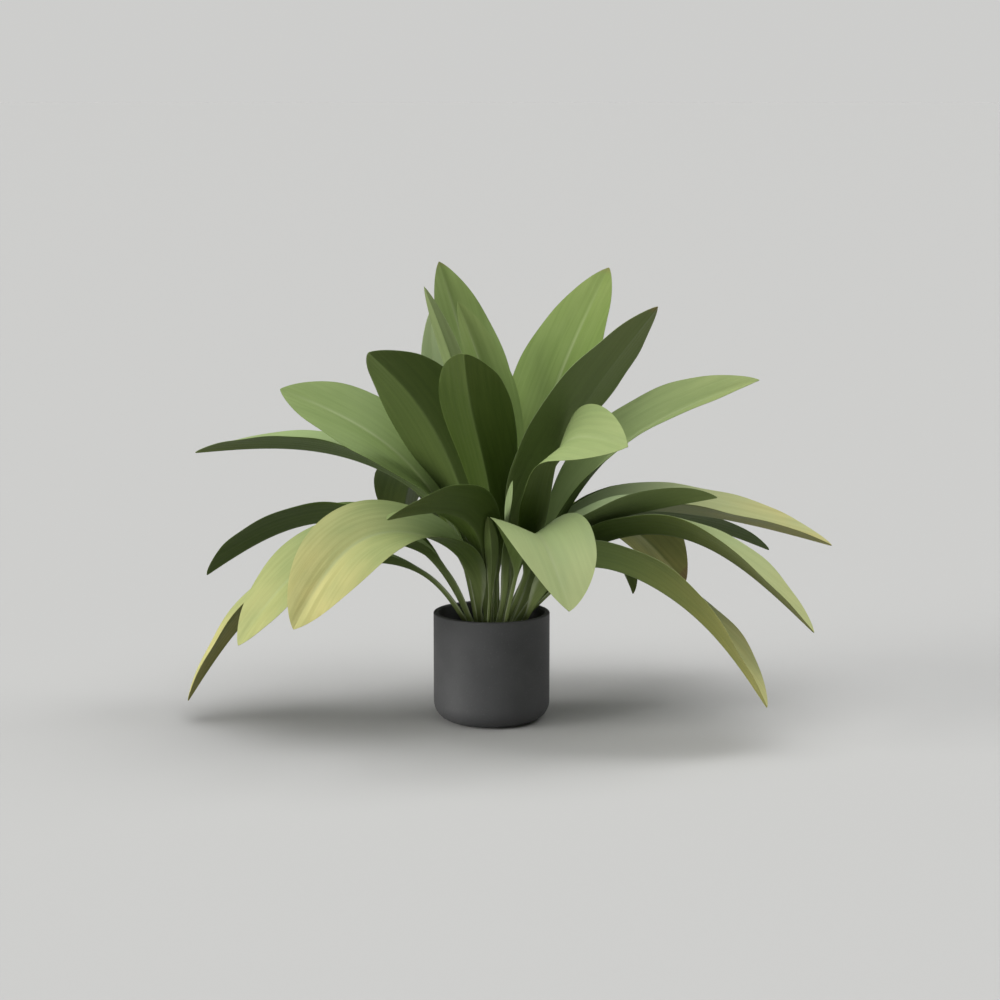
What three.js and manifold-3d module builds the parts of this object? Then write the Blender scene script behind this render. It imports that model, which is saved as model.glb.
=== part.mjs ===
import * as THREE from 'three';
import { mergeVertices } from 'three/addons/utils/BufferGeometryUtils.js';
import Module from 'manifold-3d';

// Cast iron plant in a round pot. Millimetres, +Z up, origin at the centre of the pot's foot.
// +X is to the right and +Y away from someone who looks at the plant's front.

// Pot
const POT_RADIUS = 85;
const POT_HEIGHT = 160;
const POT_WALL = 7;
const POT_FLOOR = 7;
const FOOT_ROUNDING = 28;
const RIM_ROUNDING = 2;
const POT_SIDES = 48;

// Soil
const GAP = 0.3;
const SOIL_LEVEL = 132;
const SOIL_EDGE_LEVEL = 126;
const SOIL_FLAT_RADIUS = 48;
const SOIL_SIDES = 32;
const CLOD_HEIGHT = 1.6;

// Stalk: a channel, open towards the middle of the plant
const STALK_ARM = 4.6;
const STALK_FOLD = 48;
const STALK_SHARE = 0.12;
const STALK_RIDGE = 2.2;
const ROOT_DEPTH = 12;
const BEND_ABOVE_SOIL = 4;
const HOLE_RADIUS = 4.9;
const HOLE_SHIFT = 0.6;
const HOLE_SIDES = 10;

// Blade: two halves folded along the midrib
const BLADE_WIDTH = 112;
const BLADE_FOLD = 32;
const FLAT_FOLD = 16;
const BLADE_ARCH = 0.1;
const BLADE_THICKNESS = 1.1;
const MIDRIB_THICKNESS = 1.7;
const BASE_TAPER = 1.15;
const TIP_TAPER = 0.8;
const TIP_HALF_WIDTH = 1.6;
const LEAF_STEPS = 14;
const COLUMNS = [-1, -0.5, 0, 0.5, 1];

const CURVE_SAMPLES = 240;
const degrees = Math.PI / 180;

// Every leaf: where its stalk leaves the soil, then three places that its midrib passes, the last
// of them the tip. The roll turns the blade about its midrib, halfway along and at the tip. The
// stalk is the share of the length below the blade.
const LEAVES = [
  { base: [8, 24], path: [[5, 45, 260], [-15, 125, 425], [-80, 220, 655]], width: 120, fold: 26 },
  { base: [3, 11], path: [[5, 20, 260], [5, 50, 420], [-50, 100, 605]], width: 90 },
  { base: [-3, 21], path: [[-20, 25, 270], [-80, 70, 465], [-90, 120, 590]], width: 102 },
  {
    base: [-8, 3],
    path: [[-15, -5, 310], [-40, -10, 475], [-95, -60, 640]],
    width: 44,
    roll: [45, 55],
    fold: 40,
  },
  {
    base: [-6, -7],
    path: [[-35, -20, 315], [-115, -80, 490], [-170, -135, 555]],
    width: 150,
    roll: [42, 34],
    fold: 30,
  },
  {
    base: [5, -14],
    path: [[0, -65, 335], [-25, -170, 470], [-35, -300, 570]],
    width: 122,
    roll: [0, -5],
  },
  {
    base: [-20, -2],
    path: [[-60, 20, 285], [-150, 30, 400], [-310, 60, 480]],
    width: 144,
    roll: [-22, -36],
    fold: FLAT_FOLD,
  },
  {
    base: [-18, 12],
    path: [[-75, 50, 295], [-215, 90, 375], [-445, 140, 375]],
    width: 110,
    roll: [0, 5],
  },
  {
    base: [-7, -22],
    path: [[-15, -80, 275], [-55, -180, 335], [-140, -290, 345]],
    roll: [25, 25],
    stalk: 0.1,
  },
  {
    base: [-16, -15],
    path: [[-55, -75, 265], [-165, -125, 295], [-275, -200, 175]],
    width: 126,
    roll: [-26, -46],
    fold: FLAT_FOLD,
    stalk: 0.06,
  },
  {
    base: [-27, -15],
    path: [[-85, -30, 245], [-215, -70, 270], [-360, -120, 135]],
    width: 110,
    roll: [-20, -26],
    fold: FLAT_FOLD,
    stalk: 0.2,
  },
  {
    base: [-32, -4],
    path: [[-100, -15, 220], [-260, -10, 220], [-445, -15, 30]],
    width: 104,
    roll: [1, -3],
    stalk: 0.2,
  },
  {
    base: [-27, 8],
    path: [[-90, 30, 235], [-245, 80, 280], [-430, 130, 190]],
    width: 118,
    roll: [8, 8],
    stalk: 0.16,
  },
  { base: [-14, 24], path: [[-55, 75, 255], [-115, 160, 330], [-140, 240, 240]], width: 126 },
  {
    base: [15, 15],
    path: [[40, 30, 275], [90, 95, 465], [175, 165, 650]],
    width: 154,
    roll: [4, 6],
    fold: 18,
  },
  {
    base: [18, -6],
    path: [[60, -50, 325], [125, -100, 470], [230, -150, 620]],
    width: 138,
    roll: [-10, -12],
    fold: FLAT_FOLD,
  },
  {
    base: [17, -18],
    path: [[80, -115, 340], [105, -175, 435], [185, -260, 440]],
    width: 126,
    roll: [30, 50],
    fold: FLAT_FOLD,
    stalk: 0.2,
  },
  { base: [25, 3], path: [[85, 25, 260], [165, 50, 375], [395, 90, 490]], width: 116, roll: [16, 22] },
  {
    base: [37, 2],
    path: [[120, 35, 280], [290, 65, 295], [505, 75, 245]],
    width: 116,
    roll: [12, 10],
    fold: 34,
  },
  { base: [29, -9], path: [[100, -25, 265], [200, -65, 315], [320, -100, 345]], roll: [6, -30] },
  {
    base: [28, -21],
    path: [[110, -30, 240], [245, -85, 290], [455, -150, 160]],
    width: 124,
    roll: [-11, 0],
    fold: 28,
  },
  {
    base: [40, -17],
    path: [[120, -80, 240], [280, -155, 190], [385, -205, 65]],
    width: 148,
    roll: [-26, -14],
    fold: 28,
    stalk: 0.05,
  },
  {
    base: [19, 31],
    path: [[95, 80, 265], [195, 220, 260], [305, 310, 145]],
    width: 140,
    roll: [-20, -36],
  },
  { base: [26, 21], path: [[120, 70, 250], [295, 150, 265], [425, 205, 215]], width: 100 },
  { base: [36, 14], path: [[115, 45, 205], [180, 110, 220], [215, 160, 155]], width: 56 },
  {
    base: [18, -34],
    path: [[40, -90, 245], [70, -245, 310], [105, -345, 230]],
    width: 148,
    roll: [0, -18],
    fold: 20,
    stalk: 0.22,
  },
  { base: [13, 4], path: [[32, -2, 265], [41, -3, 325], [50, -5, 395]], width: 34 },
  {
    base: [6, -33],
    path: [[20, -50, 200], [25, -80, 280], [30, -110, 370]],
    width: 30,
    roll: [60, 110],
    fold: 30,
  },
  { base: [-5, -39], path: [[0, -65, 225], [0, -90, 275], [-5, -120, 320]], width: 24, stalk: 0.22 },
];

const leafGreens = ['#6f8a48', '#5f7c3c', '#7a9450', '#52702f', '#849a55'];

const wasm = await Module();
wasm.setup();

const smooth = (value) => {
  const x = Math.min(Math.max(value, 0), 1);
  return x * x * (3 - 2 * x);
};

const blend = (from, to, share) => from + (to - from) * share;

// Numbers from 0 to 1 that are the same on every run
function seededRandom(seed) {
  let state = seed;
  return () => {
    state = (state * 16807) % 2147483647;
    return state / 2147483647;
  };
}

function piece(name, colour, roughness, points, faces) {
  const raw = new THREE.BufferGeometry();
  raw.setAttribute('position', new THREE.Float32BufferAttribute(points.flat(), 3));
  raw.setIndex(faces.flat());
  const geometry = mergeVertices(raw, 1e-4);
  geometry.computeVertexNormals();
  const material = new THREE.MeshStandardMaterial({ color: colour, roughness, metalness: 0 });
  const mesh = new THREE.Mesh(geometry, material);
  mesh.name = name;
  return mesh;
}

// Quarter circle in the plane of a profile, from one angle to another
function arc(centreX, centreZ, radius, from, to, steps) {
  return Array.from({ length: steps + 1 }, (_, i) => {
    const angle = blend(from, to, i / steps) * degrees;
    return [centreX + radius * Math.cos(angle), centreZ + radius * Math.sin(angle)];
  });
}

// Turns a profile of [radius, height] pairs, which runs from the axis to the axis, into a solid
function revolve(profile, sides, lift = () => 0) {
  const points = [];
  const rings = profile.map(([radius, height], level) => {
    const count = radius === 0 ? 1 : sides;
    return Array.from({ length: count }, (_, i) => {
      const angle = (i / sides) * 2 * Math.PI;
      points.push([
        radius * Math.cos(angle),
        radius * Math.sin(angle),
        height + lift(level, i),
      ]);
      return points.length - 1;
    });
  });
  const faces = [];
  for (let level = 0; level < rings.length - 1; level += 1) {
    const lower = rings[level];
    const upper = rings[level + 1];
    for (let i = 0; i < sides; i += 1) {
      const next = (i + 1) % sides;
      if (lower.length > 1) {
        faces.push([lower[i], lower[next], upper[upper.length > 1 ? next : 0]]);
      }
      if (upper.length > 1) {
        faces.push([lower[lower.length > 1 ? i : 0], upper[next], upper[i]]);
      }
    }
  }
  return { points, faces };
}

function pot() {
  const inside = POT_RADIUS - POT_WALL;
  const footRadius = POT_RADIUS - FOOT_ROUNDING;
  const innerRounding = FOOT_ROUNDING - POT_WALL;
  const profile = [
    [0, 0],
    ...arc(footRadius, FOOT_ROUNDING, FOOT_ROUNDING, -90, 0, 6),
    ...arc(POT_RADIUS - RIM_ROUNDING, POT_HEIGHT - RIM_ROUNDING, RIM_ROUNDING, 0, 90, 2),
    ...arc(inside + RIM_ROUNDING, POT_HEIGHT - RIM_ROUNDING, RIM_ROUNDING, 90, 180, 2),
    ...arc(inside - innerRounding, POT_FLOOR + innerRounding, innerRounding, 0, -90, 4),
    [0, POT_FLOOR],
  ];
  const { points, faces } = revolve(profile, POT_SIDES);
  return piece('pot', '#4a4b4d', 0.75, points, faces);
}

const toManifold = ({ points, faces }) => new wasm.Manifold(new wasm.Mesh({
  numProp: 3,
  vertProperties: new Float32Array(points.flat()),
  triVerts: new Uint32Array(faces.flat()),
}));

function holeForStalk([x, y], direction) {
  const bottom = SOIL_LEVEL - ROOT_DEPTH - GAP;
  const top = SOIL_LEVEL + ROOT_DEPTH;
  const profile = [[0, bottom], [HOLE_RADIUS, bottom], [HOLE_RADIUS, top], [0, top]];
  const { points, faces } = revolve(profile, HOLE_SIDES);
  const moved = points.map(([px, py, pz]) => [
    px + x - HOLE_SHIFT * direction[0],
    py + y - HOLE_SHIFT * direction[1],
    pz,
  ]);
  return { points: moved, faces };
}

// Soil that fills the pot, a little higher in the middle, crumbly towards the wall
function soil() {
  const random = seededRandom(7);
  const outer = POT_RADIUS - POT_WALL - GAP;
  const rounding = FOOT_ROUNDING - POT_WALL;
  const bottom = POT_FLOOR + GAP;
  const top = [[outer, SOIL_EDGE_LEVEL], [70, 128], [62, 130], [55, 131]];
  const profile = [
    [0, bottom],
    ...arc(outer - rounding, bottom + rounding, rounding, -90, 0, 4),
    ...top,
    [SOIL_FLAT_RADIUS, SOIL_LEVEL],
    [0, SOIL_LEVEL],
  ];
  const firstTop = profile.length - top.length - 2;
  const bumps = profile.map((_, level) => Array.from({ length: SOIL_SIDES }, () => {
    const loose = level >= firstTop && level < firstTop + top.length;
    return loose ? CLOD_HEIGHT * (random() - 0.5) : 0;
  }));
  let body = toManifold(revolve(profile, SOIL_SIDES, (level, i) => bumps[level][i]));
  for (const leaf of LEAVES) {
    body = body.subtract(toManifold(holeForStalk(leaf.base, outward(leaf))));
  }
  const mesh = body.getMesh();
  const points = [];
  for (let i = 0; i < mesh.vertProperties.length; i += mesh.numProp) {
    points.push([...mesh.vertProperties.slice(i, i + 3)]);
  }
  const faces = [];
  for (let i = 0; i < mesh.triVerts.length; i += 3) {
    faces.push([...mesh.triVerts.slice(i, i + 3)]);
  }
  return piece('soil', '#2b211a', 0.95, points, faces);
}

// Direction in plan from a leaf's stalk to its tip
function outward({ base, path }) {
  const tip = path[path.length - 1];
  const angle = Math.atan2(tip[1] - base[1], tip[0] - base[0]);
  return [Math.cos(angle), Math.sin(angle)];
}

// Smooth curve through a few places, free of bending at both ends, as evenly spaced samples
function curveThrough(places) {
  const last = places.length - 1;
  const spans = places.slice(1).map((p, i) => p.distanceTo(places[i]));
  const starts = [0];
  spans.forEach((span) => starts.push(starts[starts.length - 1] + span));
  const bends = places.map(() => new THREE.Vector3());
  const pull = [0];
  for (let i = 1; i < last; i += 1) {
    const before = places[i].clone().sub(places[i - 1]).divideScalar(spans[i - 1]);
    const after = places[i + 1].clone().sub(places[i]).divideScalar(spans[i]);
    const weight = 2 * (spans[i - 1] + spans[i]) - spans[i - 1] * pull[i - 1];
    pull.push(spans[i] / weight);
    bends[i] = after.sub(before).multiplyScalar(6)
      .addScaledVector(bends[i - 1], -spans[i - 1])
      .divideScalar(weight);
  }
  for (let i = last - 1; i > 0; i -= 1) {
    bends[i].addScaledVector(bends[i + 1], -pull[i]);
  }
  const samples = [];
  for (let k = 0; k <= CURVE_SAMPLES; k += 1) {
    const reach = (k / CURVE_SAMPLES) * starts[last];
    let i = 0;
    while (i < last - 1 && reach > starts[i + 1]) {
      i += 1;
    }
    const b = (reach - starts[i]) / spans[i];
    const a = 1 - b;
    samples.push(new THREE.Vector3()
      .addScaledVector(places[i], a)
      .addScaledVector(places[i + 1], b)
      .addScaledVector(bends[i], (a ** 3 - a) * spans[i] ** 2 / 6)
      .addScaledVector(bends[i + 1], (b ** 3 - b) * spans[i] ** 2 / 6));
  }
  return samples;
}

// Place and direction at a share of the curve's length
function along(samples, lengths, share) {
  const total = lengths[lengths.length - 1];
  const reach = share * total;
  let i = 0;
  while (i < samples.length - 2 && lengths[i + 1] < reach) {
    i += 1;
  }
  const part = (reach - lengths[i]) / (lengths[i + 1] - lengths[i]);
  const place = samples[i].clone().lerp(samples[i + 1], part);
  const direction = samples[i + 1].clone().sub(samples[i]).normalize();
  return { place, direction };
}

const taperPeak = BASE_TAPER / (BASE_TAPER + TIP_TAPER);
const taperScale = taperPeak ** BASE_TAPER * (1 - taperPeak) ** TIP_TAPER;

// Half the blade's width at a share of its length
function halfWidth(width, share) {
  const blade = (width / 2) * share ** BASE_TAPER * (1 - share) ** TIP_TAPER / taperScale;
  const stalk = STALK_ARM * (1 - smooth(share * 2));
  return Math.max(Math.hypot(blade, stalk), TIP_HALF_WIDTH);
}

// Cross-section of a leaf: five points over the upper face, then five back under the lower one
function section({ place, side, up, width, fold, arch, thickness, ridge }) {
  const upper = COLUMNS.map((column) => {
    const rise = width * (Math.abs(column) * Math.sin(fold) - arch * column * column);
    return place.clone()
      .addScaledVector(side, width * column * Math.cos(fold))
      .addScaledVector(up, rise);
  });
  const lower = upper.map((point, i) => {
    const depth = blend(ridge, thickness, Math.min(Math.abs(COLUMNS[i]) * 2, 1));
    return point.clone().addScaledVector(up, -depth);
  });
  return [...upper, ...lower.reverse()];
}

function leafSections(leaf) {
  const { base, path, width = BLADE_WIDTH, roll = [0, 0], fold = BLADE_FOLD } = leaf;
  const { stalk = STALK_SHARE } = leaf;
  const [x, y] = base;
  const start = new THREE.Vector3(x, y, SOIL_LEVEL + BEND_ABOVE_SOIL);
  const samples = curveThrough([start, ...path.map((p) => new THREE.Vector3(...p))]);
  const lengths = [0];
  for (let i = 1; i < samples.length; i += 1) {
    lengths.push(lengths[i - 1] + samples[i].distanceTo(samples[i - 1]));
  }
  const [outX, outY] = outward(leaf);
  const level = new THREE.Vector3(-outY, outX, 0);
  const inward = new THREE.Vector3(-outX, -outY, 0);
  const stalkSection = (height) => section({
    place: new THREE.Vector3(x, y, height),
    side: level,
    up: inward,
    width: STALK_ARM,
    fold: STALK_FOLD * degrees,
    arch: 0,
    thickness: STALK_RIDGE,
    ridge: STALK_RIDGE,
  });
  const sections = [stalkSection(SOIL_LEVEL - ROOT_DEPTH), stalkSection(SOIL_LEVEL)];
  for (let i = 0; i <= LEAF_STEPS; i += 1) {
    const share = i / LEAF_STEPS;
    const { place, direction } = along(samples, lengths, share);
    const side = level.clone().addScaledVector(direction, -level.dot(direction)).normalize();
    const up = direction.clone().cross(side);
    const blade = Math.min(Math.max((share - stalk) / (1 - stalk), 0), 1);
    const turn = roll[0] * smooth(share / 0.6) + (roll[1] - roll[0]) * smooth(share * 2 - 1);
    side.applyAxisAngle(direction, turn * degrees);
    up.applyAxisAngle(direction, turn * degrees);
    const opening = smooth(blade * 1.4);
    sections.push(section({
      place,
      side,
      up,
      width: halfWidth(width, blade),
      fold: blend(STALK_FOLD, fold, opening) * degrees,
      arch: BLADE_ARCH * Math.min(blade * 3, 1),
      thickness: blend(STALK_RIDGE, BLADE_THICKNESS, opening),
      ridge: blend(STALK_RIDGE, MIDRIB_THICKNESS, opening),
    }));
  }
  return sections;
}

// Joins the cross-sections into one closed solid, both faces split along the same diagonals
function leaf(name, colour, settings) {
  const sections = leafSections(settings);
  const size = sections[0].length;
  const half = size / 2;
  const points = sections.flat().map((p) => [p.x, p.y, p.z]);
  const faces = [];
  for (let i = 0; i < sections.length - 1; i += 1) {
    for (let k = 0; k < size; k += 1) {
      const next = (k + 1) % size;
      const a = i * size + k;
      const b = i * size + next;
      const c = (i + 1) * size + next;
      const d = (i + 1) * size + k;
      faces.push(...(k < half ? [[a, c, b], [a, d, c]] : [[a, d, b], [d, c, b]]));
    }
  }
  const end = (sections.length - 1) * size;
  for (let k = 0; k < half - 1; k += 1) {
    const opposite = size - 1 - k;
    faces.push([k, k + 1, opposite - 1], [k, opposite - 1, opposite]);
    faces.push(
      [end + k, end + opposite - 1, end + k + 1],
      [end + k, end + opposite, end + opposite - 1],
    );
  }
  return piece(name, colour, 0.6, points, faces);
}

const plant = new THREE.Group();
plant.name = 'potted_cast_iron_plant';
plant.add(pot(), soil());
LEAVES.forEach((settings, i) => {
  const name = `leaf_${String(i + 1).padStart(2, '0')}`;
  plant.add(leaf(name, leafGreens[i % leafGreens.length], settings));
});

export default plant;
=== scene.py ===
import math

import bpy
import numpy as np
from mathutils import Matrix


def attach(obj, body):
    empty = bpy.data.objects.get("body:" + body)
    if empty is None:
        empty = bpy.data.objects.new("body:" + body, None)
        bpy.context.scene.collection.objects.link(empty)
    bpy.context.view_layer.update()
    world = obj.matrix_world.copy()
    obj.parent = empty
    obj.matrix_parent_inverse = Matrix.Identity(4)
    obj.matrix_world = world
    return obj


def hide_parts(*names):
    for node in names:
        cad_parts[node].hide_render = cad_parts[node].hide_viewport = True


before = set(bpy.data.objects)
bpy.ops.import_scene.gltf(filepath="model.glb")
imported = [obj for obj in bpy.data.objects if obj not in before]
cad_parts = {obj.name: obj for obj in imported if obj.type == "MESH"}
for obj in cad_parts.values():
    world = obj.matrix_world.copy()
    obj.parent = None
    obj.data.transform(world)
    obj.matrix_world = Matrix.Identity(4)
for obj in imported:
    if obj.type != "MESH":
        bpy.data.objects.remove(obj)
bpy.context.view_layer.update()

# Potted cast iron plant. Sizes are in millimetres and become metres where a mesh is made.
MM = 0.001

# Pot
POT_RADIUS = 85.0
POT_HEIGHT = 160.0
POT_WALL = 7.0
POT_FLOOR = 7.0
FOOT_ROUNDING = 28.0
RIM_ROUNDING = 2.0
POT_SIDES = 144
POT_OUTSIDE_RINGS = 12
POT_INSIDE_RINGS = 8
FOOT_STEPS = 16
INSIDE_FOOT_STEPS = 8
RIM_STEPS = 6

# Soil. Its surface is uneven on three scales, each with a spacing, a seed and a share of the
# height.
GAP = 0.3
SOIL_LEVEL = 132.0
SOIL_EDGE_LEVEL = 126.0
SOIL_FLAT_RADIUS = 48.0
SOIL_SIDES = 160
SOIL_RINGS = 52
SOIL_SIDE_RINGS = 4
SOIL_FOOT_STEPS = 5
CLODS = [(11.0, 3, 1.0), (4.6, 4, 0.6), (2.1, 5, 0.35)]
CLOD_HEIGHT = 2.4
CLOD_MIDDLE = 0.95
LATTICE_SIZE = 64
DENT_DEPTH = 1.6
DENT_REACH = 5.0
SOIL_SHARP_ANGLE = 70.0

# Loose crumbs on the soil: their radius from the smallest up, and how long, flat, lumpy and sunk
# they are
CRUMBS = 520
CRUMB_SEED = 11
CRUMB_SMALLEST = 0.8
CRUMB_GROWTH = 2.2
CRUMB_STRETCH = 1.2
CRUMB_FLATNESS = 0.6
CRUMB_LEAST_BULGE = 0.8
CRUMB_BULGE = 0.4
CRUMB_TILT = 0.5
CRUMB_RISE = 0.15
CRUMB_WALL_CLEARANCE = 4.0

# Stalk. It stands upright in the soil and leans over to its curve within a short length.
STALK_ARM = 4.6
STALK_FOLD = 48.0
STALK_SHARE = 0.12
STALK_RIDGE = 2.2
ROOT_DEPTH = 12.0
ROOT_SHOULDER = 4.0
CURVE_ABOVE_SOIL = 4.0
LEAN_LENGTH = 18.0

# Blade. The tapers give its outline, and the two ripple lengths are those of its margins' waves.
BLADE_WIDTH = 112.0
BLADE_FOLD = 32.0
FLAT_FOLD = 16.0
FOLD_SOFTNESS = 0.05
BLADE_ARCH = 0.1
BLADE_THICKNESS = 0.9
MARGIN_THICKNESS = 0.5
MARGIN_WIDTH = 4.0
MIDRIB_THICKNESS = 1.9
MIDRIB_HALF_WIDTH = 2.4
MIDRIB_PROUD = 0.8
MIDRIB_THINNING = 0.6
BASE_TAPER = 1.15
TIP_TAPER = 0.8
TIP_HALF_WIDTH = 0.5
PLEAT_SPACING = 9.0
PLEAT_HEIGHT = 0.15
PLEAT_FREE_MIDDLE = 6.0
PLEAT_FREE_MARGIN = 3.0
RIPPLE_HEIGHT = 1.4
RIPPLE_FULL_WIDTH = 50.0
RIPPLES_RIGHT = (31.0, 14.0)
RIPPLES_LEFT = (27.0, 16.0)
ROLL_MIDDLE = 0.6
LEAF_ROWS = 76
LEAF_HALF_COLUMNS = 22
ROW_CROWDING = 1.25
COLUMN_CROWDING = 1.15
CURVE_SAMPLES = 600
LEAF_SHARP_ANGLE = 60.0
LEAF_SHAPE_SEED = 100
LEAF_LOOK_SEED = 300

# Rates: a change with a rate of 3 is complete after a third of the length.
ARM_RATE = 2.0
OPENING_RATE = 1.4
ARCH_RATE = 3.0
PLEAT_RATE = 5.0
RIPPLE_RATE = 3.0
RIPPLE_END_RATE = 6.0
MIDRIB_THINNING_RATE = 1.2
MIDRIB_END_RATE = 4.0

# Where on a leaf its looks change: the start and the length of each change, as shares of the
# leaf's length, of its half width, or in millimetres for the stalk
YELLOW_ALONG = (0.35, 0.6)
TIP_YELLOW_ALONG = (0.7, 0.3)
DRY_TIP_ALONG = (0.92, 0.08)
DRY_MARGIN_ALONG = (0.55, 0.4)
DRY_MARGIN_ACROSS = (0.95, 0.05)
# The stalk's painted highlights lie along its edges, and its painted light fades out along its
# length
STALK_HIGHLIGHT_ACROSS = (0.62, 0.3)
STALK_LIGHT_FADE = (30.0, 110.0)
TIP_YELLOW = 0.12
DRY_MARGIN = 0.7
USUAL_BROWN = 0.15
PALE_VARIATION = 0.12
LEAF_GRAIN_STEP = 37.0
UNDER_GRAIN_STEP = 11.0

# Colours, linear. Pairs are the two ends of a mottled or streaked colour.
POT_GREYS = [(0.058, 0.059, 0.061), (0.072, 0.073, 0.075)]
POT_SPECK = (0.11, 0.11, 0.11)
SOIL_BROWNS = [(0.012, 0.008, 0.006), (0.052, 0.034, 0.022)]
BARK = (0.11, 0.07, 0.042)
TOP_GREENS = [(0.116, 0.175, 0.037), (0.146, 0.213, 0.051)]
TOP_PATCH = (0.174, 0.24, 0.074)
# The pale upper green is painted light, standing in for stronger light on the leaves that catch it
TOP_PALE_AND_PAINTED_LIGHT = (0.34, 0.43, 0.22)
TOP_YELLOWS = [(0.43, 0.40, 0.15), (0.51, 0.48, 0.20)]
# The underside's greens and yellows are painted shade: darker than the upper side's, standing in
# for the shade beneath the leaves
UNDER_GREENS_IN_PAINTED_SHADE = [(0.048, 0.079, 0.011), (0.063, 0.098, 0.016)]
# The pale underside colour is painted light on undersides that catch the light
UNDER_PAINTED_LIGHT = (0.24, 0.30, 0.13)
UNDER_YELLOWS_IN_PAINTED_SHADE = [(0.24, 0.23, 0.06), (0.30, 0.28, 0.08)]
# The stalk greens are painted light: the stalk is painted lighter than the blade, and lightest
# along its edges as a painted highlight
STALK_PAINTED_LIGHT_GREENS = [(0.28, 0.35, 0.12), (0.54, 0.61, 0.37)]
# The midrib's underside colour is painted shade, darker than its upper side's
RIB_UNDER_IN_PAINTED_SHADE = (0.11, 0.15, 0.05)
RIB_TOP = (0.30, 0.35, 0.18)
WITHERED = [(0.13, 0.098, 0.034), (0.23, 0.185, 0.07)]

# Studio. Each light has the azimuth and height of its place and its apparent width in degrees, a
# strength and a colour. The haze goes from the horizon's colour to the ceiling's.
LIGHTS = {
    "key": (200.0, 12.0, 38.0, 3.2, (1.0, 0.99, 0.97)),
    "top": (285.0, 80.0, 70.0, 2.6, (1.0, 1.0, 1.0)),
    "rim": (15.0, 48.0, 30.0, 0.9, (1.0, 1.0, 1.0)),
}
HORIZON = (0.612, 0.612, 0.602)
CEILING = (0.09, 0.092, 0.095)
HAZE_START = 0.04
HAZE_END = 0.22
FLOOR_REACH = 60000.0
FLOOR_COLOUR = (0.46, 0.46, 0.452)
FLOOR_ROUGHNESS = 0.9
CAMERA_PLACE = (0.0123, -3.9197, 0.9555)
CAMERA_PITCH_DOWN = 9.14
CAMERA_LENS = 98.34
CAMERA_SENSOR = 36.0
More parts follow.
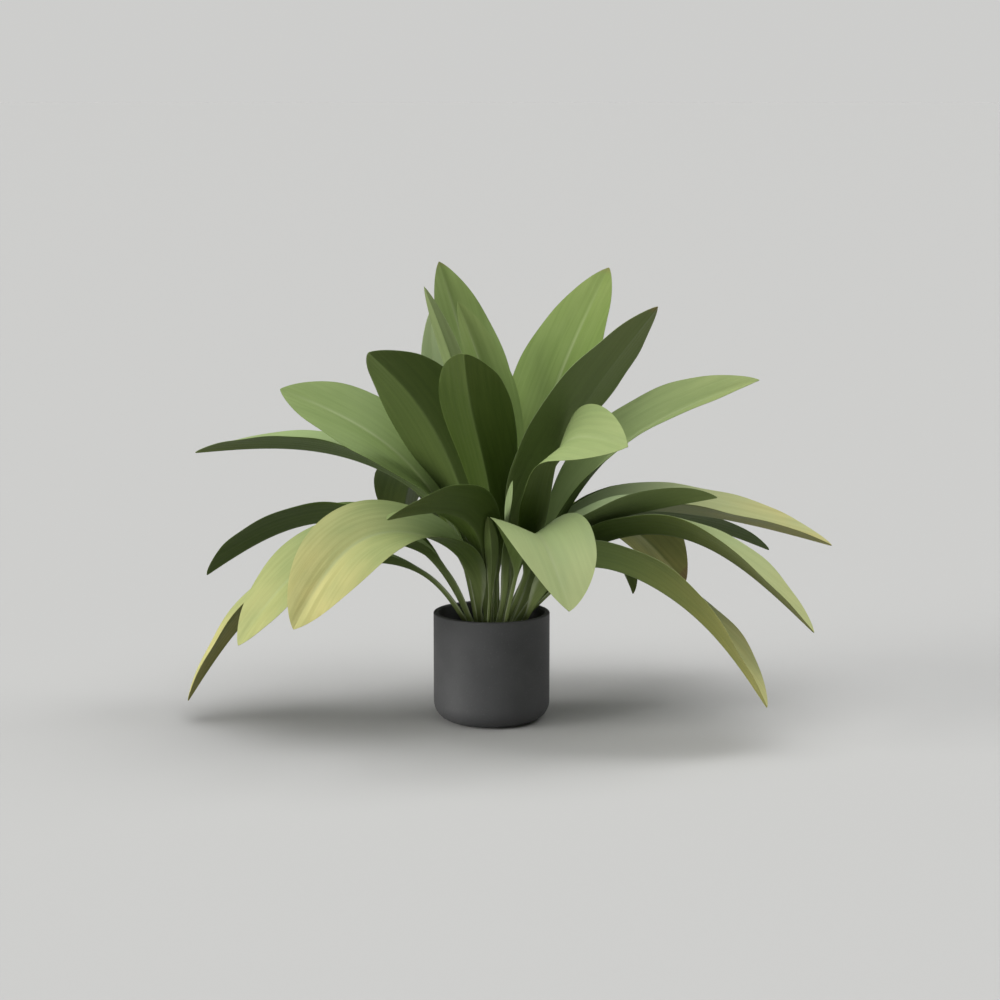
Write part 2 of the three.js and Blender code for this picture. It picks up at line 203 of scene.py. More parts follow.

# Every leaf: where its stalk leaves the soil, then three places that its midrib passes, the last
# of them the tip. The roll turns the blade about its midrib, in degrees, a little past halfway
# along and at the tip. The stalk is the share of the length below the blade. Yellow is how far
# the blade has turned yellow, pale how light its green is painted, which is painted light standing
# in for the light that falls on the leaf, and brown how much of the tip is dry.
# What a leaf doesn't give has its usual value.
LEAVES = [
    {
        "base": (8, 24),
        "path": [(5, 45, 260), (-15, 125, 425), (-80, 220, 655)],
        "width": 120,
        "fold": 26,
        "brown": 0.6,
    },
    {
        "base": (3, 11),
        "path": [(5, 20, 260), (5, 50, 420), (-50, 100, 605)],
        "width": 90,
        "brown": 0.35,
    },
    {
        "base": (-3, 21),
        "path": [(-20, 25, 270), (-80, 70, 465), (-90, 120, 590)],
        "width": 102,
        "pale_and_painted_light": 1.3,
        "brown": 0.3,
    },
    {
        "base": (-8, 3),
        "path": [(-15, -5, 310), (-40, -10, 475), (-95, -60, 640)],
        "width": 44,
        "roll": (45, 55),
        "fold": 40,
        "pale_and_painted_light": 1.6,
    },
    {
        "base": (-6, -7),
        "path": [(-35, -20, 315), (-115, -80, 490), (-170, -135, 555)],
        "width": 150,
        "roll": (42, 34),
        "fold": 30,
        "pale_and_painted_light": 0.75,
    },
    {
        "base": (5, -14),
        "path": [(0, -65, 335), (-25, -170, 470), (-35, -300, 570)],
        "width": 122,
        "roll": (0, -5),
    },
    {
        "base": (-20, -2),
        "path": [(-60, 20, 285), (-150, 30, 400), (-310, 60, 480)],
        "width": 144,
        "roll": (-22, -36),
        "fold": FLAT_FOLD,
        "pale_and_painted_light": 0.15,
        "brown": 0.4,
    },
    {
        "base": (-18, 12),
        "path": [(-75, 50, 295), (-215, 90, 375), (-445, 140, 375)],
        "width": 110,
        "roll": (0, 5),
        "pale_and_painted_light": 0.5,
    },
    {
        "base": (-7, -22),
        "path": [(-15, -80, 275), (-55, -180, 335), (-140, -290, 345)],
        "roll": (25, 25),
        "stalk": 0.1,
        "pale_and_painted_light": 0.2,
    },
    {
        "base": (-16, -15),
        "path": [(-55, -75, 265), (-165, -125, 295), (-275, -200, 175)],
        "width": 126,
        "roll": (-26, -46),
        "fold": FLAT_FOLD,
        "stalk": 0.06,
        "yellow": 0.9,
        "pale_and_painted_light": 0.3,
    },
    {
        "base": (-27, -15),
        "path": [(-85, -30, 245), (-215, -70, 270), (-360, -120, 135)],
        "width": 110,
        "roll": (-20, -26),
        "fold": FLAT_FOLD,
        "stalk": 0.2,
        "yellow": 0.5,
        "pale_and_painted_light": 0.35,
        "brown": 0.4,
    },
    {
        "base": (-32, -4),
        "path": [(-100, -15, 220), (-260, -10, 220), (-445, -15, 30)],
        "width": 104,
        "roll": (1, -3),
        "stalk": 0.2,
        "yellow": 0.9,
        "pale_and_painted_light": 0.6,
        "brown": 0.4,
    },
    {
        "base": (-27, 8),
        "path": [(-90, 30, 235), (-245, 80, 280), (-430, 130, 190)],
        "width": 118,
        "roll": (8, 8),
        "stalk": 0.16,
    },
    {
        "base": (-14, 24),
        "path": [(-55, 75, 255), (-115, 160, 330), (-140, 240, 240)],
        "width": 126,
        "pale_and_painted_light": 0.2,
    },
    {
        "base": (15, 15),
        "path": [(40, 30, 275), (90, 95, 465), (175, 165, 650)],
        "width": 154,
        "roll": (4, 6),
        "fold": 18,
        "brown": 0.6,
    },
    {
        "base": (18, -6),
        "path": [(60, -50, 325), (125, -100, 470), (230, -150, 620)],
        "width": 138,
        "roll": (-10, -12),
        "fold": FLAT_FOLD,
        "pale_and_painted_light": 0.95,
        "brown": 0.6,
    },
    {
        "base": (17, -18),
        "path": [(80, -115, 340), (105, -175, 435), (185, -260, 440)],
        "width": 126,
        "roll": (30, 50),
        "fold": FLAT_FOLD,
        "stalk": 0.2,
        "yellow": 0.1,
        "pale_and_painted_light": 0.35,
    },
    {
        "base": (25, 3),
        "path": [(85, 25, 260), (165, 50, 375), (395, 90, 490)],
        "width": 116,
        "roll": (16, 22),
        "yellow": 0.1,
        "pale_and_painted_light": 0.3,
        "brown": 0.4,
    },
    {
        "base": (37, 2),
        "path": [(120, 35, 280), (290, 65, 295), (505, 75, 245)],
        "width": 116,
        "roll": (12, 10),
        "fold": 34,
        "yellow": 0.8,
        "pale_and_painted_light": 1.1,
    },
    {
        "base": (29, -9),
        "path": [(100, -25, 265), (200, -65, 315), (320, -100, 345)],
        "roll": (6, -30),
        "pale_and_painted_light": 1.2,
    },
    {
        "base": (28, -21),
        "path": [(110, -30, 240), (245, -85, 290), (455, -150, 160)],
        "width": 124,
        "roll": (-11, 0),
        "fold": 28,
        "yellow": 0.4,
        "pale_and_painted_light": 0.78,
        "brown": 0.4,
    },
    {
        "base": (40, -17),
        "path": [(120, -80, 240), (280, -155, 190), (385, -205, 65)],
        "width": 148,
        "roll": (-26, -14),
        "fold": 28,
        "stalk": 0.05,
        "yellow": 0.8,
        "pale_and_painted_light": 0.9,
    },
    {
        "base": (19, 31),
        "path": [(95, 80, 265), (195, 220, 260), (305, 310, 145)],
        "width": 140,
        "roll": (-20, -36),
        "yellow": 0.5,
        "brown": 1.0,
    },
    {
        "base": (26, 21),
        "path": [(120, 70, 250), (295, 150, 265), (425, 205, 215)],
        "width": 100,
        "pale_and_painted_light": 0.3,
    },
    {
        "base": (36, 14),
        "path": [(115, 45, 205), (180, 110, 220), (215, 160, 155)],
        "width": 56,
    },
    {
        "base": (18, -34),
        "path": [(40, -90, 245), (70, -245, 310), (105, -345, 230)],
        "width": 148,
        "roll": (0, -18),
        "fold": 20,
        "stalk": 0.22,
        "yellow": 0.2,
        "pale_and_painted_light": 0.62,
    },
    {
        "base": (13, 4),
        "path": [(32, -2, 265), (41, -3, 325), (50, -5, 395)],
        "width": 34,
        "pale_and_painted_light": 0.8,
    },
    {
        "base": (6, -33),
        "path": [(20, -50, 200), (25, -80, 280), (30, -110, 370)],
        "width": 30,
        "roll": (60, 110),
        "fold": 30,
        "pale_and_painted_light": 0.8,
    },
    {
        "base": (-5, -39),
        "path": [(0, -65, 225), (0, -90, 275), (-5, -120, 320)],
        "width": 24,
        "stalk": 0.22,
        "pale_and_painted_light": 0.8,
    },
]


def smooth(value):
    x = np.clip(value, 0.0, 1.0)
    return x * x * (3.0 - 2.0 * x)


def rising(value, start, length):
    """From 0 to 1 as a value goes from the start over the length."""
    return smooth((value - start) / length)


def blend(start, end, share):
    return start + (end - start) * share


def between(start, end, count):
    """Even steps between two values, both left out."""
    return np.linspace(start, end, count + 2)[1:-1]


def unit(vectors):
    return vectors / np.linalg.norm(vectors, axis=-1, keepdims=True)


def dot(a, b):
    return np.sum(a * b, axis=-1, keepdims=True)


# Meshes


def make_mesh(name, points, faces, sharp_angle=50.0):
    """A mesh object from points in millimetres, shaded smooth except at sharp edges."""
    mesh = bpy.data.meshes.new(name)
    mesh.from_pydata((np.asarray(points) * MM).tolist(), [], [list(f) for f in faces])
    mesh.validate()
    mesh.polygons.foreach_set("use_smooth", [True] * len(mesh.polygons))
    mesh.set_sharp_from_angle(angle=math.radians(sharp_angle))
    piece = bpy.data.objects.new(name, mesh)
    bpy.context.scene.collection.objects.link(piece)
    return piece


def put_on(piece, node, material):
    """Gives a piece its material, and its place in the frame in the stead of a node."""
    piece.data.materials.append(material)
    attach(piece, "root")
    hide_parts(node)


def arc(centre_x, centre_z, radius, start, end, steps):
    """Part of a circle in the plane of a profile, between two angles in degrees."""
    angles = np.radians(np.linspace(start, end, steps + 1))
    return [(centre_x + radius * math.cos(a), centre_z + radius * math.sin(a)) for a in angles]


def revolve(profile, sides):
    """Points and faces of a profile of (radius, height) pairs turned round the vertical axis."""
    points = []
    rings = []
    turn = np.linspace(0.0, 2.0 * math.pi, sides, endpoint=False)
    for radius, height in profile:
        first = len(points)
        if radius == 0:
            points.append((0.0, 0.0, height))
            rings.append([first] * sides)
        else:
            points += [(radius * math.cos(t), radius * math.sin(t), height) for t in turn]
            rings.append(list(range(first, first + sides)))
    faces = []
    for lower, upper in zip(rings[:-1], rings[1:]):
        for i in range(sides):
            k = (i + 1) % sides
            corners = [lower[i], lower[k], upper[k], upper[i]]
            faces.append(list(dict.fromkeys(corners)))
    return points, faces


# Materials


class Nodes:
    """Short calls to build one material's node tree."""

    # The colour sockets of a Mix node, which has others with the same names
    MIX_A = 6
    MIX_B = 7
    MIX_RESULT = 2

    def __init__(self, name):
        self.material = bpy.data.materials.new(name)
        self.material.use_nodes = True
        self.tree = self.material.node_tree
        self.shader = self.tree.nodes["Principled BSDF"]

    def add(self, kind, **settings):
        node = self.tree.nodes.new(kind)
        for key, value in settings.items():
            setattr(node, key, value)
        return node

    def fill(self, socket, value):
        if isinstance(value, bpy.types.NodeSocket):
            self.tree.links.new(value, socket)
        elif isinstance(value, tuple) and socket.type == "RGBA":
            socket.default_value = (*value, 1.0)
        else:
            socket.default_value = value

    def paint(self, name, value):
        """Gives one of the shader's own inputs a value or a link."""
        self.fill(self.shader.inputs[name], value)

    def math(self, operation, a, b, clamp=False):
        node = self.add("ShaderNodeMath", operation=operation, use_clamp=clamp)
        self.fill(node.inputs[0], a)
        self.fill(node.inputs[1], b)
        return node.outputs[0]

    def times(self, a, b, clamp=False):
        return self.math("MULTIPLY", a, b, clamp)

    def plus(self, a, b):
        return self.math("ADD", a, b)

    def mix(self, factor, a, b):
        node = self.add("ShaderNodeMix", data_type="RGBA")
        self.fill(node.inputs["Factor"], factor)
        self.fill(node.inputs[self.MIX_A], a)
        self.fill(node.inputs[self.MIX_B], b)
        return node.outputs[self.MIX_RESULT]

    def noise(self, vector, scale, detail, roughness=0.5):
        node = self.add("ShaderNodeTexNoise")
        self.fill(node.inputs["Vector"], vector)
        node.inputs["Scale"].default_value = scale
        node.inputs["Detail"].default_value = detail
        node.inputs["Roughness"].default_value = roughness
        return node.outputs["Fac"]

    def ramp(self, value, low, high, start=0.0, end=1.0):
        """The value moved from the range low to high into the range start to end, smoothly."""
        node = self.add("ShaderNodeMapRange", interpolation_type="SMOOTHSTEP")
        self.fill(node.inputs["Value"], value)
        node.inputs["From Min"].default_value = low
        node.inputs["From Max"].default_value = high
        node.inputs["To Min"].default_value = start
        node.inputs["To Max"].default_value = end
        return node.outputs["Result"]

    def stretched_noise(self, vector, scale, detail, roughness=0.5):
        """Noise with a scale of its own on each axis."""
        node = self.add("ShaderNodeMapping")
        self.fill(node.inputs["Vector"], vector)
        node.inputs["Scale"].default_value = scale
        return self.noise(node.outputs["Vector"], 1.0, detail, roughness)

    def attribute(self, name, output="Fac"):
        return self.add("ShaderNodeAttribute", attribute_name=name).outputs[output]

    def place(self):
        """A point's place on its object, in metres."""
        return self.add("ShaderNodeTexCoord").outputs["Object"]

    def bump(self, height, distance, strength):
        node = self.add("ShaderNodeBump")
        node.inputs["Distance"].default_value = distance
        node.inputs["Strength"].default_value = strength
        self.fill(node.inputs["Height"], height)
        self.paint("Normal", node.outputs["Normal"])


def pot_material():
    """Matte grey with faint clouds, a fine grain and a few pale specks."""
    n = Nodes("pot_matte_grey")
    place = n.place()
    clouds = n.noise(place, 14.0, detail=3.0)
    grain = n.noise(place, 900.0, detail=2.0)
    specks = n.ramp(n.noise(place, 420.0, detail=1.0), 0.66, 0.72)
    body = n.mix(n.ramp(clouds, 0.3, 0.7), *POT_GREYS)
    n.paint("Base Color", n.mix(n.times(specks, 0.35), body, POT_SPECK))
    n.paint("Roughness", n.ramp(grain, 0.3, 0.7, 0.56, 0.7))
    n.paint("Specular IOR Level", 0.35)
    n.bump(n.plus(grain, n.times(clouds, 2.0)), 0.0002, 0.5)
    return n.material


def soil_material():
    """Dark clumps with lighter shreds of bark."""
    n = Nodes("potting_soil")
    place = n.place()
    clumps = n.noise(place, 90.0, detail=5.0, roughness=0.65)
    fibres = n.stretched_noise(place, (420.0, 672.0, 420.0), detail=3.0)
    earth = n.mix(n.ramp(clumps, 0.32, 0.68), *SOIL_BROWNS)
    bark = n.ramp(fibres, 0.62, 0.75)
    n.paint("Base Color", n.mix(n.times(bark, 0.6), earth, BARK))
    n.paint("Roughness", n.ramp(fibres, 0.2, 0.8, 0.8, 0.97))
    n.paint("Specular IOR Level", 0.25)
    n.bump(n.plus(clumps, fibres), 0.0012, 0.8)
    return n.material


def leaf_material():
    """Leaf tissue. It reads where on its leaf a point lies, across and along in millimetres and
    with a number of the leaf's own, whether it is on the upper side, how yellow and dry the leaf
    is there, how pale, which is painted light, and how near it is to the stalk, the stalk's margin
    and the midrib. The underside is painted darker as painted shade, and the stalk lighter as
    painted light, with painted highlights along its margins."""
    n = Nodes("leaf_green")
    grain = n.attribute("leaf_grain", "Vector")
    upper = n.attribute("leaf_upper")
    pale_and_painted_light = n.attribute("leaf_pale_and_painted_light")

    # Lengthwise streaks, coarse and fine, broad patches and small cells
    coarse = n.stretched_noise(grain, (0.16, 0.006, 1.0), detail=3.0)
    fine = n.stretched_noise(grain, (1.1, 0.012, 1.0), detail=4.0, roughness=0.6)
    patches = n.stretched_noise(grain, (0.03, 0.012, 1.0), detail=2.0)
    cells = n.stretched_noise(grain, (2.6, 1.5, 1.0), detail=2.0)
    streak = n.plus(n.times(coarse, 0.6), n.times(fine, 0.4))

    # Both sides in green, lighter as painted light where the leaf is pale, and a little by random
    # tone
    green_streak = n.ramp(streak, 0.36, 0.64)
    top = n.mix(green_streak, *TOP_GREENS)
    top = n.mix(n.times(n.ramp(patches, 0.35, 0.7), 0.3), top, TOP_PATCH)
    top = n.mix(n.times(pale_and_painted_light, 0.85), top, TOP_PALE_AND_PAINTED_LIGHT)
    # The underside's darker greens are painted shade
    under = n.mix(green_streak, *UNDER_GREENS_IN_PAINTED_SHADE)
    # Painted light on the undersides of the leaves with the highest pale values
    under_painted_light = n.times(n.math("POWER", pale_and_painted_light, 3.0), 0.25, clamp=True)
    under = n.mix(under_painted_light, under, UNDER_PAINTED_LIGHT)

    # Yellowed tissue, in patches
    yellow_streak = n.ramp(streak, 0.35, 0.65)
    yellow_patches = n.ramp(patches, 0.1, 0.75, 0.55, 1.15)
    yellowing = n.times(n.attribute("leaf_yellow"), yellow_patches, clamp=True)
    top = n.mix(yellowing, top, n.mix(yellow_streak, *TOP_YELLOWS))
    under = n.mix(yellowing, under, n.mix(yellow_streak, *UNDER_YELLOWS_IN_PAINTED_SHADE))
    # Painted shade: the underside takes the darker colours and the upper side the lighter ones
    tissue = n.mix(upper, under, top)

    # Stalk painted lighter as painted light, with painted highlights along its edges
    stalk_painted_light = n.mix(n.attribute("leaf_stalk_highlight"), *STALK_PAINTED_LIGHT_GREENS)
    stalk = n.times(n.attribute("leaf_stalk_painted_light"), n.ramp(streak, 0.3, 0.7, 0.6, 1.0))
    tissue = n.mix(stalk, tissue, stalk_painted_light)

    # Paler midrib, its underside darker as painted shade
    rib_green = n.mix(upper, RIB_UNDER_IN_PAINTED_SHADE, RIB_TOP)
    tissue = n.mix(n.times(n.attribute("leaf_rib"), 0.5), tissue, rib_green)

    # Dry brown tip with a ragged border
    withered = n.mix(n.ramp(fine, 0.3, 0.7), *WITHERED)
    raggedness = n.times(n.math("SUBTRACT", patches, 0.5), 0.5)
    dry = n.ramp(n.plus(n.attribute("leaf_dry"), raggedness), 0.45, 0.7)
    n.paint("Base Color", n.mix(dry, tissue, withered))

    n.paint("Roughness", n.ramp(cells, 0.2, 0.8, 0.46, 0.62))
    n.paint("Specular IOR Level", 0.2)
    n.bump(n.plus(fine, n.times(cells, 0.25)), 0.0004, 0.6)
    return n.material


def floor_material():
    n = Nodes("floor_pale")
    n.paint("Base Color", FLOOR_COLOUR)
    n.paint("Roughness", FLOOR_ROUGHNESS)
    n.paint("Specular IOR Level", 0.2)
    return n.material


# Pot and soil


def pot():
    inside = POT_RADIUS - POT_WALL
    foot = POT_RADIUS - FOOT_ROUNDING
    inner_rounding = FOOT_ROUNDING - POT_WALL
    rim_height = POT_HEIGHT - RIM_ROUNDING
    inner_foot_height = POT_FLOOR + inner_rounding
    outside_heights = between(FOOT_ROUNDING, rim_height, POT_OUTSIDE_RINGS)
    inside_heights = between(rim_height, inner_foot_height, POT_INSIDE_RINGS)
    profile = [
        (0, 0),
        (foot / 2, 0),
        *arc(foot, FOOT_ROUNDING, FOOT_ROUNDING, -90, 0, FOOT_STEPS),
        *[(POT_RADIUS, z) for z in outside_heights],
        *arc(POT_RADIUS - RIM_ROUNDING, rim_height, RIM_ROUNDING, 0, 90, RIM_STEPS),
        *arc(inside + RIM_ROUNDING, rim_height, RIM_ROUNDING, 90, 180, RIM_STEPS),
        *[(inside, z) for z in inside_heights],
        *arc(inside - inner_rounding, inner_foot_height, inner_rounding, 0, -90, INSIDE_FOOT_STEPS),
        (0, POT_FLOOR),
    ]
    points, faces = revolve(profile, POT_SIDES)
    put_on(make_mesh("pot_body", points, faces), "pot", pot_material())


def lattice_noise(x, y, cell, seed):
    """Smooth random heights from 0 to 1 over the plane, from a seeded grid of values."""
    random = np.random.RandomState(seed)
    size = LATTICE_SIZE
    values = random.rand(size, size)
    u = x / cell + size / 2
    v = y / cell + size / 2
    i = np.floor(u).astype(int) % size
    k = np.floor(v).astype(int) % size
    a = smooth(u - np.floor(u))
    b = smooth(v - np.floor(v))
    near = blend(values[i, k], values[(i + 1) % size, k], a)
    far = blend(values[i, (k + 1) % size], values[(i + 1) % size, (k + 1) % size], a)
    return blend(near, far, b)


def soil_height(x, y):
    """Height of the soil's surface: nearly level, lower at the wall, crumbly, and pressed down
    round the stalks."""
    sloping = POT_RADIUS - POT_WALL - SOIL_FLAT_RADIUS
    edge = rising(np.hypot(x, y), SOIL_FLAT_RADIUS, sloping)
    height = SOIL_LEVEL - (SOIL_LEVEL - SOIL_EDGE_LEVEL) * edge
    clods = sum(share * lattice_noise(x, y, cell, seed) for cell, seed, share in CLODS)
    height = height + CLOD_HEIGHT * (clods - CLOD_MIDDLE)
    for leaf in LEAVES:
        near = np.hypot(x - leaf["base"][0], y - leaf["base"][1])
        height = height - DENT_DEPTH * smooth(1.0 - (near - STALK_ARM) / DENT_REACH)
    return height


def crumb_points(random, size, stretch):
    """The twelve corners of an uneven twenty-sided lump, and its faces."""
    long = (1.0 + math.sqrt(5.0)) / 2.0
    corners = np.array([
        (-1, long, 0), (1, long, 0), (-1, -long, 0), (1, -long, 0),
        (0, -1, long), (0, 1, long), (0, -1, -long), (0, 1, -long),
        (long, 0, -1), (long, 0, 1), (-long, 0, -1), (-long, 0, 1),
    ], dtype=float)
    faces = [
        (0, 11, 5), (0, 5, 1), (0, 1, 7), (0, 7, 10), (0, 10, 11),
        (1, 5, 9), (5, 11, 4), (11, 10, 2), (10, 7, 6), (7, 1, 8),
        (3, 9, 4), (3, 4, 2), (3, 2, 6), (3, 6, 8), (3, 8, 9),
        (4, 9, 5), (2, 4, 11), (6, 2, 10), (8, 6, 7), (9, 8, 1),
    ]
    bulges = random.rand(len(corners), 1)
    corners = unit(corners) * (CRUMB_LEAST_BULGE + CRUMB_BULGE * bulges)
    corners *= size * np.array(stretch)
    turn, tilt = random.rand(2) * (2.0 * math.pi, CRUMB_TILT)
    across = np.array([
        (math.cos(turn), -math.sin(turn), 0),
        (math.sin(turn), math.cos(turn), 0),
        (0, 0, 1),
    ])
    lean = np.array([
        (1, 0, 0),
        (0, math.cos(tilt), -math.sin(tilt)),
        (0, math.sin(tilt), math.cos(tilt)),
    ])
    return corners @ lean.T @ across.T, faces


def soil():
    outer = POT_RADIUS - POT_WALL - GAP
    rounding = FOOT_ROUNDING - POT_WALL
    bottom = POT_FLOOR + GAP
    foot_height = bottom + rounding
    side_heights = between(foot_height, SOIL_EDGE_LEVEL, SOIL_SIDE_RINGS)
    radii = np.linspace(outer, 0.0, SOIL_RINGS + 1)
    profile = [
        (0, bottom),
        *arc(outer - rounding, foot_height, rounding, -90, 0, SOIL_FOOT_STEPS),
        *[(outer, z) for z in side_heights],
        *[(r, SOIL_LEVEL) for r in radii],
    ]
    points, faces = revolve(profile, SOIL_SIDES)
    points = np.array(points)
    top = points[:, 2] == SOIL_LEVEL
    points[top, 2] = soil_height(points[top, 0], points[top, 1])

    # Bark and peat crumbs, half sunk, clear of the stalks
    random = np.random.RandomState(CRUMB_SEED)
    bases = np.array([leaf["base"] for leaf in LEAVES], dtype=float)
    parts = [points]
    count = len(points)
    for _ in range(CRUMBS):
        radius = (outer - CRUMB_WALL_CLEARANCE) * math.sqrt(random.rand())
        angle = random.rand() * 2.0 * math.pi
        size = CRUMB_SMALLEST + CRUMB_GROWTH * random.rand() ** 2
        long = 1.0 + CRUMB_STRETCH * random.rand()
        lump, lump_faces = crumb_points(random, size, (long, 1.0, CRUMB_FLATNESS))
        x = radius * math.cos(angle)
        y = radius * math.sin(angle)
        if np.min(np.hypot(bases[:, 0] - x, bases[:, 1] - y)) < STALK_ARM + size * long:
            continue
        ground = float(soil_height(np.array([x]), np.array([y]))[0])
        parts.append(lump + np.array([x, y, ground + CRUMB_RISE * size]))
        faces += [tuple(count + c for c in f) for f in lump_faces]
        count += len(lump)
    piece = make_mesh("soil_crumbs", np.vstack(parts), faces, SOIL_SHARP_ANGLE)
    put_on(piece, "soil", soil_material())


# Leaves


def curve_through(places):
    """Smooth curve through a few places, free of bending at both ends: samples, and how far along
    the curve each lies."""
    places = np.asarray(places, dtype=float)
    spans = np.linalg.norm(np.diff(places, axis=0), axis=1)
    starts = np.concatenate([[0.0], np.cumsum(spans)])
    last = len(places) - 1
    pulls = np.eye(last + 1)
    turns = np.zeros((last + 1, 3))
    for i in range(1, last):
        before = (places[i] - places[i - 1]) / spans[i - 1]
        after = (places[i + 1] - places[i]) / spans[i]
        pulls[i, i - 1 : i + 2] = spans[i - 1], 2.0 * (spans[i - 1] + spans[i]), spans[i]
        turns[i] = 6.0 * (after - before)
    bends = np.linalg.solve(pulls, turns)
    reach = np.linspace(0.0, starts[-1], CURVE_SAMPLES + 1)
    i = np.clip(np.searchsorted(starts, reach, "right") - 1, 0, last - 1)
    b = ((reach - starts[i]) / spans[i])[:, None]
    a = 1.0 - b
    sixth = (spans[i] ** 2 / 6.0)[:, None]
    samples = a * places[i] + b * places[i + 1]
    samples = samples + sixth * ((a**3 - a) * bends[i] + (b**3 - b) * bends[i + 1])
    steps = np.linalg.norm(np.diff(samples, axis=0), axis=1)
    return samples, np.concatenate([[0.0], np.cumsum(steps)])


def half_width(width, share):
    """Half the width at a share of the blade's length, from the stalk's to nearly nothing."""
    peak = BASE_TAPER / (BASE_TAPER + TIP_TAPER)
    scale = peak**BASE_TAPER * (1.0 - peak) ** TIP_TAPER
    blade = width / 2.0 * share**BASE_TAPER * (1.0 - share) ** TIP_TAPER / scale
    stalk = STALK_ARM * (1.0 - smooth(share * ARM_RATE))
    return np.maximum(np.hypot(blade, stalk), TIP_HALF_WIDTH)


def sampled(reach, lengths, vectors):
    """Vectors along a curve, read at other distances."""
    return np.stack([np.interp(reach, lengths, vectors[:, k]) for k in range(3)], axis=-1)


def leaf_rows(leaf):
    """For each row of a leaf: its centre, side and upward direction, and its share of the way up
    the whole leaf and up the blade. Then the leaf's length."""
    x, y = leaf["base"]
    start = (x, y, SOIL_LEVEL + CURVE_ABOVE_SOIL)
    samples, lengths = curve_through([start, *leaf["path"]])
    even = np.linspace(0.0, 1.0, LEAF_ROWS + 1)
    share = 1.0 - (1.0 - even) ** ROW_CROWDING
    reach = share * lengths[-1]
    place = sampled(reach, lengths, samples)
    direction = unit(sampled(reach, lengths, unit(np.gradient(samples, axis=0))))
    tip = leaf["path"][-1]
    angle = math.atan2(tip[1] - y, tip[0] - x)
    level = np.array([-math.sin(angle), math.cos(angle), 0.0])

    # Straight up out of the soil, then over to the curve
    upright = np.array([0.0, 0.0, 1.0])
    direction = unit(blend(upright, direction, smooth(reach / LEAN_LENGTH)[:, None]))
    side = unit(level - direction * dot(level, direction))
    up = np.cross(direction, side)
    middle_roll, tip_roll = leaf.get("roll", (0.0, 0.0))
    to_middle = middle_roll * smooth(share / ROLL_MIDDLE)
    to_tip = (tip_roll - middle_roll) * smooth(share * 2.0 - 1.0)
    turn = np.radians(to_middle + to_tip)[:, None]
    side, up = side * np.cos(turn) + up * np.sin(turn), up * np.cos(turn) - side * np.sin(turn)

    # The root end in the soil
    heights = (SOIL_LEVEL - ROOT_DEPTH, SOIL_LEVEL - ROOT_SHOULDER, SOIL_LEVEL)
    under = np.array([(x, y, z) for z in heights])
    root = len(under)
    place = np.vstack([under, place])
    side = np.vstack([np.repeat(side[:1], root, axis=0), side])
    up = np.vstack([np.repeat(up[:1], root, axis=0), up])
    share = np.concatenate([np.zeros(root), share])
    stalk = leaf.get("stalk", STALK_SHARE)
    blade = np.clip((share - stalk) / (1.0 - stalk), 0.0, 1.0)
    return place, side, up, share, blade, lengths[-1]


def ripple(along, lengths, phases):
    """A long wave and a short one of half the height."""
    long_wave = np.sin(along / lengths[0] + phases[0])
    return long_wave + 0.5 * np.sin(along / lengths[1] + phases[1])


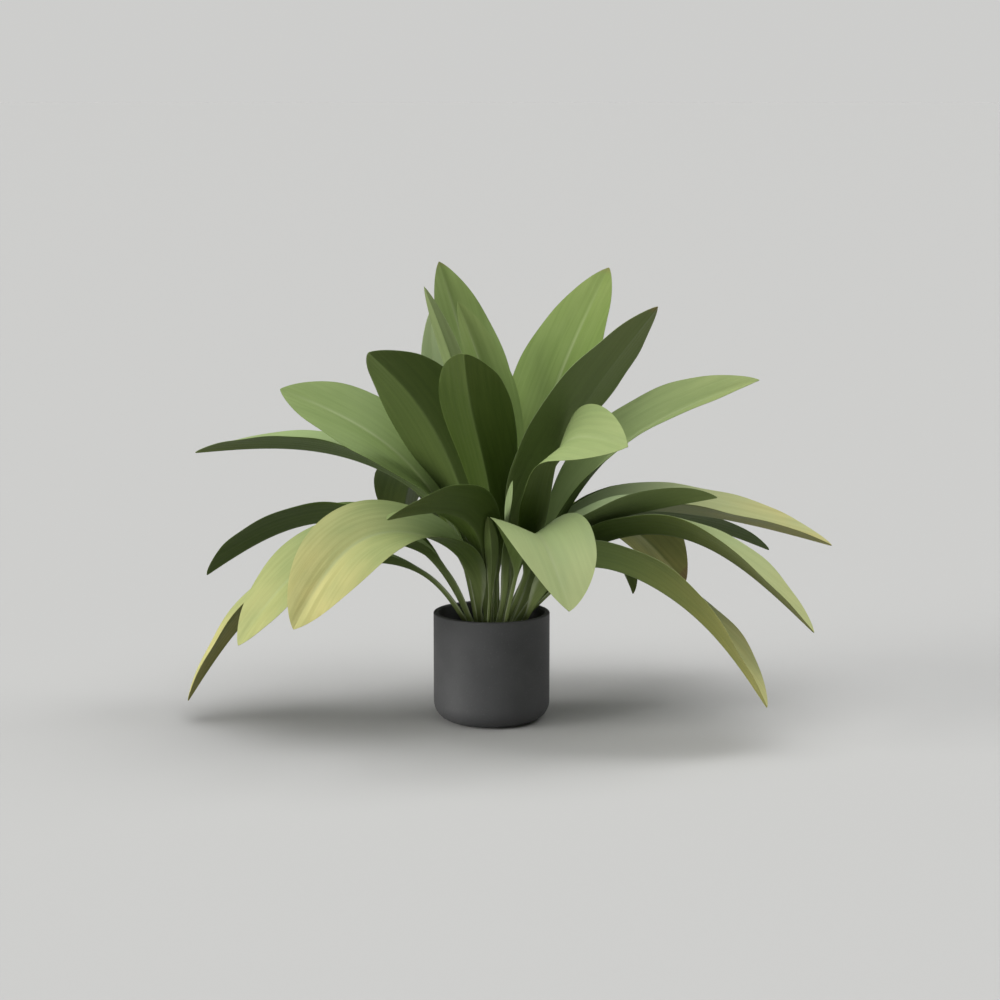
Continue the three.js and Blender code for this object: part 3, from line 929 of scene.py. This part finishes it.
def leaf_surface(leaf, number):
    """Upper and lower points of a leaf as grids of rows and columns, and where on it they lie."""
    random = np.random.RandomState(LEAF_SHAPE_SEED + number)
    place, side, up, share, blade, length = leaf_rows(leaf)
    even = np.linspace(-1.0, 1.0, 2 * LEAF_HALF_COLUMNS + 1)
    column = (np.sign(even) * np.abs(even) ** COLUMN_CROWDING)[None, :]
    width = half_width(leaf.get("width", BLADE_WIDTH), blade)[:, None]
    opening = smooth(blade * OPENING_RATE)[:, None]
    fold = np.radians(blend(STALK_FOLD, leaf.get("fold", BLADE_FOLD), opening))
    arch = BLADE_ARCH * np.minimum(blade * ARCH_RATE, 1.0)[:, None]

    # The fold is rounded a little where the halves meet
    fold_height = np.sqrt(column * column + FOLD_SOFTNESS * FOLD_SOFTNESS) - FOLD_SOFTNESS
    fold_rise = fold_height * np.sin(fold) * (1.0 + FOLD_SOFTNESS)
    rise = width * (fold_rise - arch * column * column)
    across = width * column * np.cos(fold)

    # Pleats along the veins
    out = width * np.abs(column)
    fade = smooth(out / PLEAT_FREE_MIDDLE) * smooth((width - out) / PLEAT_FREE_MARGIN)
    fade = fade * smooth(blade * PLEAT_RATE)[:, None]
    rise = rise + PLEAT_HEIGHT * fade * np.cos(2.0 * math.pi * out / PLEAT_SPACING)

    # Margins that ripple slightly, and least at the blade's ends
    along = share[:, None] * length
    phases = random.rand(4) * 2.0 * math.pi
    right = ripple(along, RIPPLES_RIGHT, phases[:2])
    left = ripple(along, RIPPLES_LEFT, phases[2:])
    wave = np.where(column > 0, right, left)
    calm = (smooth(blade * RIPPLE_RATE) * smooth((1.0 - blade) * RIPPLE_END_RATE))[:, None]
    breadth = np.minimum(width / RIPPLE_FULL_WIDTH, 1.0)
    rise = rise + RIPPLE_HEIGHT * calm * breadth * wave * np.abs(column) ** 3

    # Thickness: a thin blade with a rib under its middle
    middle = np.exp(-((out / MIDRIB_HALF_WIDTH) ** 2))
    thinning = 1.0 - MIDRIB_THINNING * smooth(share * MIDRIB_THINNING_RATE)
    rib = blend(STALK_RIDGE, MIDRIB_THICKNESS, opening) * thinning[:, None]
    flesh = blend(STALK_RIDGE, BLADE_THICKNESS, opening)
    edge = smooth((width - out) / MARGIN_WIDTH)
    margin = np.minimum(flesh, MARGIN_THICKNESS)
    depth = blend(margin, flesh, edge) + rib * middle * MIDRIB_PROUD

    def points(height):
        sideways = side[:, None, :] * across[..., None]
        return place[:, None, :] + sideways + up[:, None, :] * height[..., None]

    where = {
        "across": width * column,
        "along": np.broadcast_to(along, rise.shape),
        "share": np.broadcast_to(share[:, None], rise.shape),
        "rib": middle * smooth((1.0 - share) * MIDRIB_END_RATE)[:, None],
        "out": np.broadcast_to(np.abs(column), rise.shape),
    }
    return points(rise), points(rise - depth), where


def sheet_faces(rows, columns):
    """Faces of two equal grids of points, the upper and then the lower, closed round their rim."""
    count = rows * columns
    index = np.arange(count).reshape(rows, columns)
    a = index[:-1, :-1].ravel()
    b = index[:-1, 1:].ravel()
    c = index[1:, 1:].ravel()
    d = index[1:, :-1].ravel()
    faces = np.vstack([np.stack([a, d, c, b], axis=1), np.stack([a, b, c, d], axis=1) + count])
    rim = [*index[0, :], *index[1:, -1], *index[-1, -2::-1], *index[-2:0:-1, 0]]
    after = rim[1:] + rim[:1]
    band = [(p, q, q + count, p + count) for p, q in zip(rim, after)]
    return [*faces.tolist(), *band]


def leaf_looks(leaf, number, where):
    """What the material reads on a leaf: how far each of its looks goes at each point."""
    random = np.random.RandomState(LEAF_LOOK_SEED + number)
    share = where["share"]
    tip_yellow = TIP_YELLOW * random.rand() * rising(share, *TIP_YELLOW_ALONG)
    margin = rising(where["out"], *DRY_MARGIN_ACROSS) * rising(share, *DRY_MARGIN_ALONG)
    dry = np.maximum(rising(share, *DRY_TIP_ALONG), DRY_MARGIN * margin)
    # Pale is painted light, with a little random pale tone of the leaf's own added
    pale_and_painted_light = leaf.get("pale_and_painted_light", 0.0) + PALE_VARIATION * random.rand()
    return {
        "leaf_yellow": leaf.get("yellow", 0.0) * rising(share, *YELLOW_ALONG) + tip_yellow,
        "leaf_dry": leaf.get("brown", USUAL_BROWN) * dry,
        "leaf_pale_and_painted_light": np.full(share.shape, pale_and_painted_light),
        # Where the stalk's painted light and the painted highlights along its edges go
        "leaf_stalk_painted_light": 1.0 - rising(where["along"], *STALK_LIGHT_FADE),
        "leaf_stalk_highlight": rising(where["out"], *STALK_HIGHLIGHT_ACROSS),
        "leaf_rib": where["rib"],
    }


def float_attribute(mesh, name, values):
    layer = mesh.attributes.new(name, "FLOAT", "POINT")
    layer.data.foreach_set("value", np.asarray(values, dtype=np.float32))


def leaf(number, settings, material):
    upper, lower, where = leaf_surface(settings, number)
    points = np.vstack([upper.reshape(-1, 3), lower.reshape(-1, 3)])
    faces = sheet_faces(*upper.shape[:2])
    piece = make_mesh(f"leaf_{number:02d}_blade", points, faces, LEAF_SHARP_ANGLE)

    mesh = piece.data
    own = np.full(where["share"].shape, LEAF_GRAIN_STEP * number)
    grain = np.stack([where["across"], where["along"], own], axis=-1).reshape(-1, 3)
    both = np.concatenate([grain, grain + (0.0, 0.0, UNDER_GRAIN_STEP)])
    layer = mesh.attributes.new("leaf_grain", "FLOAT_VECTOR", "POINT")
    layer.data.foreach_set("vector", both.astype(np.float32).ravel())
    # Which side a point is on, so that the material can paint the underside darker as painted shade
    float_attribute(mesh, "leaf_upper", np.repeat([1.0, 0.0], len(grain)))
    for name, values in leaf_looks(settings, number, where).items():
        float_attribute(mesh, name, np.tile(values.ravel(), 2))
    put_on(piece, f"leaf_{number:02d}", material)


# Studio


def floor():
    reach = FLOOR_REACH
    corners = [(-reach, -reach, 0), (reach, -reach, 0), (reach, reach, 0), (-reach, reach, 0)]
    piece = make_mesh("floor", corners, [(0, 1, 2, 3)])
    piece.data.materials.append(floor_material())


def soft_sun(name, azimuth, height, angle, strength, colour):
    """A large far light: azimuth and height of its place and its apparent width, in degrees."""
    data = bpy.data.lights.new(name, "SUN")
    data.energy = strength
    data.angle = math.radians(angle)
    data.color = colour
    light = bpy.data.objects.new(name, data)
    light.rotation_euler = (math.radians(90.0 - height), 0.0, math.radians(azimuth + 90.0))
    bpy.context.scene.collection.objects.link(light)


def backdrop():
    """Pale at the horizon, where the floor ends, and dimmer above."""
    world = bpy.data.worlds.new("studio")
    world.use_nodes = True
    nodes = world.node_tree.nodes
    links = world.node_tree.links
    split = nodes.new("ShaderNodeSeparateXYZ")
    links.new(nodes.new("ShaderNodeTexCoord").outputs["Generated"], split.inputs[0])
    height = nodes.new("ShaderNodeMapRange")
    height.interpolation_type = "SMOOTHSTEP"
    height.inputs["From Min"].default_value = HAZE_START
    height.inputs["From Max"].default_value = HAZE_END
    links.new(split.outputs["Z"], height.inputs["Value"])
    mix = nodes.new("ShaderNodeMix")
    mix.data_type = "RGBA"
    links.new(height.outputs["Result"], mix.inputs["Factor"])
    mix.inputs[Nodes.MIX_A].default_value = (*HORIZON, 1.0)
    mix.inputs[Nodes.MIX_B].default_value = (*CEILING, 1.0)
    links.new(mix.outputs[Nodes.MIX_RESULT], nodes["Background"].inputs["Color"])
    bpy.context.scene.world = world


def camera():
    data = bpy.data.cameras.new("camera")
    data.lens = CAMERA_LENS
    data.sensor_width = CAMERA_SENSOR
    view = bpy.data.objects.new("camera", data)
    view.location = CAMERA_PLACE
    view.rotation_euler = (math.radians(90.0 - CAMERA_PITCH_DOWN), 0.0, 0.0)
    bpy.context.scene.collection.objects.link(view)
    bpy.context.scene.camera = view


def colours():
    bpy.context.scene.view_settings.view_transform = "Standard"
    bpy.context.scene.view_settings.look = "None"


camera()
colours()
for name, light in LIGHTS.items():
    soft_sun(name, *light)
backdrop()
floor()
pot()
soil()
leaf_tissue = leaf_material()
for position, settings in enumerate(LEAVES, start=1):
    leaf(position, settings, leaf_tissue)
